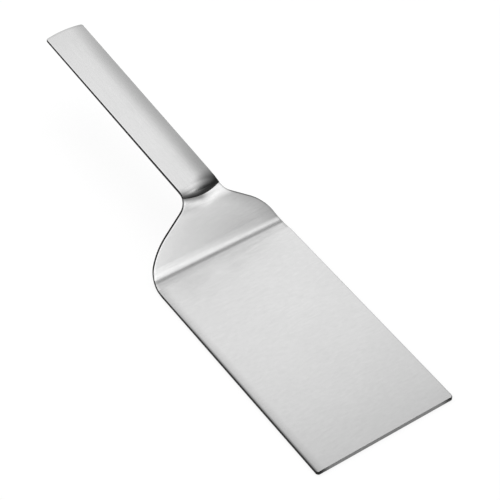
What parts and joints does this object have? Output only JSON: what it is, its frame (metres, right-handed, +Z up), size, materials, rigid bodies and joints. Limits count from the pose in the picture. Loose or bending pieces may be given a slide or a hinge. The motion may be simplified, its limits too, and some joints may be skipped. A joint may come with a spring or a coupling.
{
  "type": "serving spatula",
  "caption": "Serving spatula with a flat rectangular blade, a steep tapering shoulder and a raised flat hollow handle, for lifting and serving flat portions.",
  "frame": {"origin": "centre of the flat blade's underside, midway between the heel bend and the tip, on the surface that the spatula lies on", "axes": "+X along the blade from the handle towards the tip, +Y across the blade to the left as seen from the handle, +Z up out of the serving face"},
  "size_m": [0.2748, 0.0754, 0.0431],
  "materials": {
    "blade_steel": "fine satin brushed across the blade, edges rounded and polished",
    "handle_steel": "fine satin brushed along the handle, edges polished",
    "braze": "as cast, hidden inside the handle"
  },
  "bodies": {
    "root": {"blade": "blade_steel", "handle_upper_shell": "handle_steel", "handle_lower_shell": "handle_steel", "tang_braze": "braze"}
  },
  "joints": []
}
